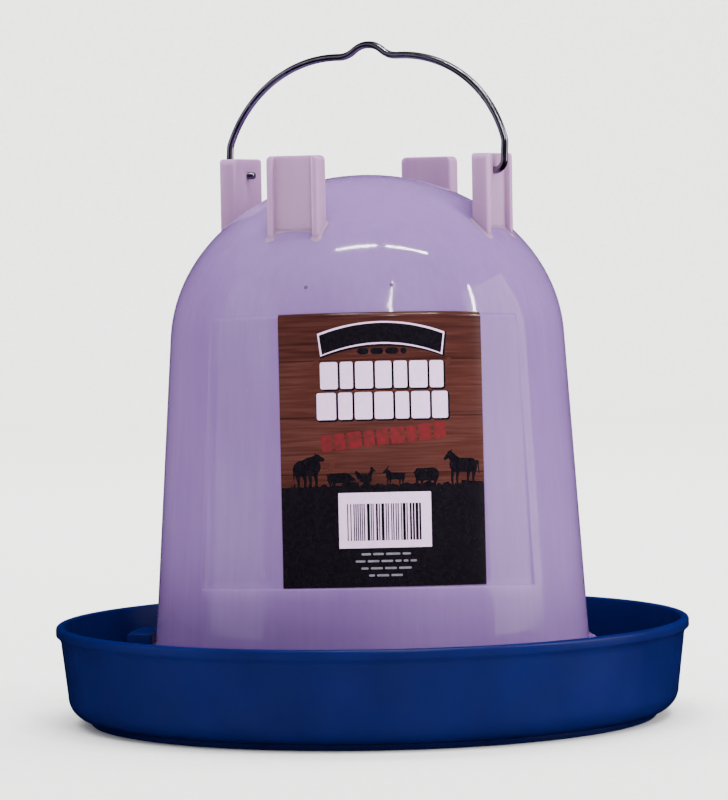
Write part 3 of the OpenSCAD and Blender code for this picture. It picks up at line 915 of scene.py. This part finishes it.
def build_label():
    """The film: a thin closed sheet that follows the panel and bends over its upper ledge."""
    across_steps = 60
    rows = [LABEL_H * i / 50 for i in range(49)] + [LABEL_H - 1.6 + 0.4 * k for k in range(7)]
    columns = [LABEL_W * (i / across_steps - 0.5) for i in range(across_steps + 1)]
    width = len(columns)
    verts = [on_bell(u, v, FILM_LIFT) for v in rows for u in columns]
    verts += [on_bell(u, v, 0.02) for v in rows for u in columns]
    back = len(rows) * width
    faces = []
    for i in range(len(rows) - 1):
        for j in range(width - 1):
            a = i * width + j
            faces.append((a, a + 1, a + width + 1, a + width))
            faces.append((back + a, back + a + width, back + a + width + 1, back + a + 1))
    rim = [j for j in range(width)] + [i * width + width - 1 for i in range(1, len(rows))]
    rim += [(len(rows) - 1) * width + j for j in range(width - 2, -1, -1)]
    rim += [i * width for i in range(len(rows) - 2, 0, -1)]
    for a, b in zip(rim, rim[1:] + rim[:1]):
        faces.append((a, back + a, back + b, b))
    label = mesh_object("label_film", verts, faces, BOARDS, crease=60)
    layer = label.data.uv_layers.new(name="label_plan")
    flat = {}
    for i, v in enumerate(rows):
        for j, u in enumerate(columns):
            flat[tuple(round(c, 3) for c in on_bell(u, v, FILM_LIFT))] = (u / LABEL_W + 0.5, v / LABEL_H)
            flat[tuple(round(c, 3) for c in on_bell(u, v, 0.02))] = (u / LABEL_W + 0.5, v / LABEL_H)
    places = [flat.get(tuple(round(c / MM, 3) for c in vertex.co), (0.5, 0.5))
              for vertex in label.data.vertices]
    for loop in label.data.loops:
        layer.data[loop.index].uv = places[loop.vertex_index]
    ride_as(label, "bell", "label_film", "front_label")


def build_print(name, outlines, ink, layer):
    """Ink shapes from closed outlines in label millimetres, as a thin closed film that follows the label."""
    bm = bmesh.new()
    for outline in outlines:
        bm.faces.new([bm.verts.new((u, v, 0)) for u, v in outline])
    bmesh.ops.triangulate(bm, faces=bm.faces[:])
    reach = [v.co.x for v in bm.verts]
    pitch = 2.5
    for k in range(math.ceil(min(reach) / pitch), math.floor(max(reach) / pitch) + 1):
        bmesh.ops.bisect_plane(bm, geom=bm.verts[:] + bm.edges[:] + bm.faces[:], dist=1e-4,
                               plane_co=(k * pitch, 0, 0), plane_no=(1, 0, 0))
    rise = [v.co.y for v in bm.verts]
    pitch_v = 12
    for k in range(math.ceil(min(rise) / pitch_v), math.floor(max(rise) / pitch_v) + 1):
        bmesh.ops.bisect_plane(bm, geom=bm.verts[:] + bm.edges[:] + bm.faces[:], dist=1e-4,
                               plane_co=(0, k * pitch_v, 0), plane_no=(0, 1, 0))
    bm.verts.index_update()
    plan = [(v.co.x, v.co.y) for v in bm.verts]
    tops = [[v.index for v in f.verts] for f in bm.faces]
    rim = [[v.index for v in e.verts] for e in bm.edges if len(e.link_faces) == 1]
    bm.free()
    count = len(plan)
    top = FILM_LIFT + PRINT_STEP * layer
    verts = [on_bell(u, v, top) for u, v in plan] + [on_bell(u, v, FILM_LIFT - 0.05) for u, v in plan]
    faces = [tuple(f) for f in tops] + [tuple(i + count for i in reversed(f)) for f in tops]
    faces += [(a, b, b + count, a + count) for a, b in rim]
    piece = mesh_object(name, verts, faces, ink, crease=60)
    ride_as(piece, "bell", "label_film")


def rounded_box(u, v, w, h, r=0.8, n=4):
    """A rectangle about (u, v) with rounded corners."""
    a, b = w / 2 - r, h / 2 - r
    return (arc(u + a, v + b, r, 0, 90, n) + arc(u - a, v + b, r, 90, 180, n)
            + arc(u - a, v - b, r, 180, 270, n) + arc(u + a, v - b, r, 270, 360, n))


def oval(u, v, w, h, n=20, tilt=0.0):
    c, s = math.cos(math.radians(tilt)), math.sin(math.radians(tilt))
    points = [(w / 2 * math.cos(2 * math.pi * k / n), h / 2 * math.sin(2 * math.pi * k / n))
              for k in range(n)]
    return [(u + x * c - y * s, v + x * s + y * c) for x, y in points]


def limb(a, b, wide, narrow):
    """A tapered leg, neck or tail between two points."""
    start, end = Vector(a), Vector(b)
    side = (end - start).normalized()
    side = Vector((-side.y, side.x))
    return [tuple(start + side * wide / 2), tuple(end + side * narrow / 2),
            tuple(end - side * narrow / 2), tuple(start - side * wide / 2)]


GROUND = 42.6


def beast(u, length, belly, rump, chest, neck, thick, head, tail, facing=1, ears=0.6):
    """A plain farm animal standing at u: rump, belly and chest on four legs with a neck, head and tail."""
    back = u - facing * (length - rump) / 2
    front = u + facing * (length - chest) / 2
    back_v = GROUND + belly + rump / 2
    front_v = GROUND + belly + chest / 2
    shapes = [oval(back, back_v, rump * 1.06, rump, 24)]
    shapes.append(oval(front, front_v, chest * 1.06, chest, 24))
    shapes.append(limb((back, back_v), (front, front_v), rump * 0.96, chest * 0.96))
    # each leg: the middle of the rump or chest that it hangs from, how far along it stands, its top width
    for start, middle, splay, wide in ((back, back_v, -0.32, 0.46), (back, back_v, 0.12, 0.40),
                                       (front, front_v, -0.14, 0.36), (front, front_v, 0.24, 0.34)):
        top = (start + facing * splay * rump, middle - rump * 0.1)
        knee = (top[0] + facing * 0.12 * rump, GROUND + belly * 0.5)
        shapes.append(limb(top, knee, rump * wide, rump * 0.17))
        shapes.append(limb(knee, (knee[0] - facing * 0.04 * rump, GROUND - 0.5), rump * 0.17, rump * 0.13))
    shoulder = (front - facing * chest * 0.05, front_v + chest * 0.05)
    brow = (shoulder[0] + facing * neck[0], shoulder[1] + neck[1])
    shapes.append(limb(shoulder, brow, chest * 0.92, thick))
    shapes.append(oval(brow[0], brow[1], thick * 1.05, thick * 1.05, 16))
    muzzle = (brow[0] + facing * head[0], brow[1] - head[1])
    shapes.append(limb(brow, muzzle, thick * 0.98, thick * 0.48))
    shapes.append(oval(muzzle[0], muzzle[1], thick * 0.52, thick * 0.5, 12))
    ear = (brow[0] - facing * thick * 0.1, brow[1] + thick * 0.3)
    shapes.append(limb(ear, (ear[0] - facing * ears * 0.5, ear[1] + ears), 0.8, 0.2))
    dock = (back - facing * rump * 0.42, back_v + rump * 0.2)
    bend = (dock[0] - facing * tail[0], dock[1] + tail[1])
    shapes.append(limb(dock, bend, rump * 0.16, rump * 0.14))
    shapes.append(limb(bend, (bend[0] - facing * tail[2], bend[1] + tail[3]), rump * 0.18, 0.2))
    return shapes


def hen(u, size):
    """A standing hen: breast, neck, head, beak, comb, tail and two legs."""
    v = GROUND + size * 0.62
    shapes = [oval(u, v, size * 1.15, size * 0.72, 18, -12)]
    shapes.append(limb((u + size * 0.3, v + size * 0.1), (u + size * 0.55, v + size * 0.62),
                       size * 0.42, size * 0.22))
    shapes.append(oval(u + size * 0.58, v + size * 0.66, size * 0.32, size * 0.28, 12))
    shapes.append(limb((u + size * 0.68, v + size * 0.66), (u + size * 0.92, v + size * 0.58),
                       size * 0.16, 0.05))
    shapes.append(limb((u + size * 0.56, v + size * 0.76), (u + size * 0.52, v + size * 0.95),
                       size * 0.3, size * 0.12))
    shapes.append(limb((u - size * 0.4, v + size * 0.05), (u - size * 0.78, v + size * 0.6),
                       size * 0.5, size * 0.2))
    for step in (-0.08, 0.2):
        shapes.append(limb((u + size * step, v - size * 0.25), (u + size * step, GROUND - 0.4),
                           size * 0.12, size * 0.07))
    return shapes


def grass_band():
    """The black ground with a ragged edge of grass blades."""
    draw = random.Random(7)
    half = LABEL_W / 2 - 0.15
    points = [(-half, 0.15), (half, 0.15), (half, GROUND)]
    u = half - 0.5
    while u > -half + 0.9:
        tall = draw.choice((0.6, 0.9, 1.2, 2.2))
        points.append((u, GROUND + draw.uniform(0.2, tall)))
        points.append((u - 0.28, GROUND - 0.1))
        u -= draw.uniform(0.5, 0.95)
    return points + [(-half, GROUND)]


def banner(grow, shift=0.0):
    """A plain arched ribbon, the same height all along."""
    middle = 102.6
    width, height, rise = 53 + 2 * grow, 7.8 + 2 * grow, 4.8
    steps = 24
    top = []
    low = []
    for i in range(steps + 1):
        t = 2 * i / steps - 1
        lift = rise * (1 - t * t)
        top.append((shift + t * width / 2, middle + lift + height / 2 - shift))
        low.append((shift + t * (width / 2 - 1.2), middle + lift - height / 2 - shift))
    return top + low[::-1]


def title_blocks(v, width, height, count, shift=0.0, grow=0.0):
    """A row of plain upright blocks of uneven width that stands for a line of large print."""
    shares = [1.0 + 0.16 * math.sin(2.3 * i + count + v) for i in range(count)]
    blocks = []
    u = -width / 2
    for share in shares:
        pitch = width * share / sum(shares)
        blocks.append(rounded_box(u + pitch / 2 + shift, v - shift, pitch - 1.0 + 2 * grow, height + 2 * grow,
                                  0.9 + grow))
        u += pitch
    return blocks


def dashes(v, width, tall, seed):
    """A line of small print as plain dashes of uneven length."""
    draw = random.Random(seed)
    marks = []
    u = -width / 2
    while u < width / 2 - 1:
        run = min(draw.uniform(2.0, 6.5), width / 2 - u)
        marks.append(rounded_box(u + run / 2, v, run, tall, tall * 0.45, 2))
        u += run + 0.9
    return marks


def slant(points, level, degrees):
    """The same points turned about the middle of the line of print at this level."""
    c, d = math.cos(math.radians(degrees)), math.sin(math.radians(degrees))
    return [(u * c - (v - level) * d, level + u * d + (v - level) * c) for u, v in points]


def bars(left, right, low, high):
    """Plain upright bars of uneven width that encode nothing."""
    draw = random.Random(31)
    shapes = []
    u = left
    while u < right - 0.6:
        wide = draw.choice((0.45, 0.5, 0.85, 1.2))
        shapes.append([(u, low), (u + wide, low), (u + wide, high), (u, high)])
        u += wide + draw.choice((0.35, 0.4, 0.6, 0.9))
    return shapes


def build_prints():
    build_print("print_grass_ground", [grass_band()], BLACK_INK, 1)
    herd = beast(-33.2, 11.6, 4.6, 6.8, 8.2, (3.2, 3.0), 3.4, (2.4, 0.5), (0.6, -1.0, 0.1, -5.4), ears=1.3)
    herd += beast(-19.4, 9.8, 1.5, 4.2, 4.4, (1.4, -0.1), 2.9, (2.4, 0.9), (0.4, 0.6, 0.3, -0.5), ears=0.7)
    herd += hen(-8.2, 5.2)
    herd += beast(4.6, 8.0, 2.5, 3.0, 3.2, (1.5, 2.2), 1.5, (1.2, 0.8), (0.3, 0.5, 0.3, 0.5), -1, 1.5)
    herd += beast(18.2, 10.4, 1.8, 5.6, 5.4, (1.6, 1.2), 2.3, (1.4, 0.7), (0.2, -0.2, 0.1, -1.0), -1, 0.4)
    herd += beast(35.0, 12.8, 5.2, 6.0, 6.2, (3.2, 4.4), 2.5, (2.3, 2.0), (1.0, 0.6, 0.7, -5.6), -1, 1.2)
    build_print("print_farm_animals", herd, BLACK_INK, 1)
    build_print("print_banner_shadow", [banner(1.3, 0.5)], BLACK_INK, 1)
    build_print("print_banner_edge", [banner(0.9)], WHITE_INK, 2)
    build_print("print_banner", [banner(0.2)], BLACK_INK, 3)
    build_print("print_line_under_banner", dashes(99.6, 21, 2.6, 5), BLACK_INK, 1)
    for row, (v, width) in enumerate(((89.6, 54.0), (76.6, 57.5)), 1):
        build_print(f"print_title_shadow_{row}", title_blocks(v, width, 11.4, 7, 0.5, 0.35), BLACK_INK, 1)
        build_print(f"print_title_{row}", title_blocks(v, width, 11.4, 7), WHITE_INK, 2)
    stamp = [slant(block, 63.4, 5.5) for block in title_blocks(63.4, 55, 7.0, 9)]
    build_print("print_red_band", stamp, RED_INK, 1)
    build_print("print_white_panel", [rounded_box(0, 28.2, 39.6, 23.4, 0.3)], WHITE_INK, 2)
    build_print("print_bars", bars(-16.2, 16.4, 19.6, 35.2), BLACK_INK, 3)
    for line, (v, width) in enumerate(((13.9, 21), (10.9, 26), (7.9, 21.5), (4.9, 15))):
        build_print(f"print_small_line_{line + 1}", dashes(v, width, 0.9, 11 + line), GREY_INK, 2)


# ---------------------------------------------------------------- studio

def build_studio():
    """A pale floor that sweeps up into a backdrop."""
    curve = [(-6.0, 0.0), (2.7, 0.0)]
    bend = [math.pi / 2 * k / 12 for k in range(1, 13)]
    curve += [(2.7 + 0.6 * math.sin(a), 0.6 - 0.6 * math.cos(a)) for a in bend]
    curve.append((3.3, 6.0))
    verts = [(side * 6000, y * 1000, z * 1000 - 0.02) for y, z in curve for side in (-1, 1)]
    faces = [(2 * i, 2 * i + 1, 2 * i + 3, 2 * i + 2) for i in range(len(curve) - 1)]
    sweep = mesh_object("studio_sweep", verts, faces, PAPER)
    # a render setting with no match in a real studio: mirror reflections miss the paper, so that the
    # bell's and pan's sides stay dark; the air and three soft lights below are hidden in the same way
    sweep.visible_glossy = False


def soft_light(name, spot, aim, width, height, power, colour="ffffff"):
    light = bpy.data.lights.new(name, "AREA")
    light.shape = "RECTANGLE"
    light.size = width
    light.size_y = height
    light.energy = power
    light.color = srgb(colour)[:3]
    lamp = bpy.data.objects.new(name, light)
    lamp.location = spot
    lamp.rotation_euler = (Vector(aim) - Vector(spot)).to_track_quat("-Z", "Y").to_euler()
    bpy.context.scene.collection.objects.link(lamp)
    return lamp


def tube_light(name, start, end, width, power):
    """A narrow lamp from one point to another that faces the bell."""
    start, end = Vector(start), Vector(end)
    middle = (start + end) / 2
    along = (end - start).normalized()
    back = (middle - Vector((0, 0, 0.2))).normalized()
    side = along.cross(back).normalized()
    lamp = soft_light(name, middle, (0, 0, 0.2), width, (end - start).length, power)
    lamp.matrix_world = (Matrix.Translation(middle)
                         @ Matrix((side, along, side.cross(along))).transposed().to_4x4())


def build_lights():
    middle = (0, 0, 0.14)
    overhead = soft_light("overhead_softbox", (0, -0.2, 2.3), (0, 0, 0), 3.4, 3.0, 53)
    overhead.visible_glossy = False
    soft_light("right_softbox", (2.2, -0.35, 0.8), middle, 1.6, 1.6, 31, "fff6fa")
    soft_light("left_softbox", (-2.2, -0.35, 0.8), middle, 1.6, 1.6, 11, "eeeaff")
    backdrop = soft_light("backdrop_softbox", (0, 1.3, 2.8), (0, 2.9, 0.3), 4.4, 1.2, 260)
    backdrop.visible_glossy = False
    fill = soft_light("low_fill_softbox", (0.3, -2.0, 0.35), (0, 0, 0.10), 1.4, 0.5, 5)
    fill.visible_glossy = False
    # narrow tubes that draw the bright lines on the dome: two end to end overhead, two upright in front
    tube_light("overhead_tube_left", (-0.38, -0.34, 1.7), (0.11, -0.34, 1.7), 0.035, 11)
    tube_light("overhead_tube_right", (0.20, -0.34, 1.7), (0.76, -0.34, 1.7), 0.035, 13)
    tube_light("upright_tube_middle", (0.21, -1.49, 0.85), (0.43, -1.44, 1.86), 0.045, 18)
    tube_light("upright_tube_right", (1.34, -0.67, 0.74), (1.41, -0.52, 1.28), 0.045, 13)
    world = bpy.data.worlds.new("studio_air")
    world.use_nodes = True
    world.node_tree.nodes["Background"].inputs["Color"].default_value = srgb("e6e6ea")
    world.node_tree.nodes["Background"].inputs["Strength"].default_value = 0.80
    bpy.context.scene.world = world
    world.cycles_visibility.glossy = False


def build_camera():
    """Level with the dome and 1.9 m in front, a little to the left, with the camera rolled one degree."""
    distance = 1.924
    around = math.radians(-3.95)
    height = 0.2205
    down = math.radians(2.38)
    turned = math.radians(0.059)
    roll = math.radians(1.01)
    ahead = Vector((-math.sin(around), math.cos(around), 0))
    right = Vector((math.cos(around), math.sin(around), 0))
    up = Vector((0, 0, 1))
    ahead, right = (ahead * math.cos(turned) - right * math.sin(turned),
                    right * math.cos(turned) + ahead * math.sin(turned))
    ahead, up = (ahead * math.cos(down) - up * math.sin(down), up * math.cos(down) + ahead * math.sin(down))
    right, up = (right * math.cos(roll) - up * math.sin(roll), up * math.cos(roll) + right * math.sin(roll))
    camera = bpy.data.cameras.new("camera")
    camera.lens = 195.9
    camera.sensor_width = 36
    camera.clip_end = 20
    seat = bpy.data.objects.new("camera", camera)
    spot = Vector((distance * math.sin(around), -distance * math.cos(around), height))
    seat.matrix_world = Matrix.Translation(spot) @ Matrix((right, up, -ahead)).transposed().to_4x4()
    bpy.context.scene.collection.objects.link(seat)
    bpy.context.scene.camera = seat


build_camera()
build_bell()
build_feet()
build_pips()
build_pan()
build_bail()
build_label()
build_prints()
build_studio()
build_lights()
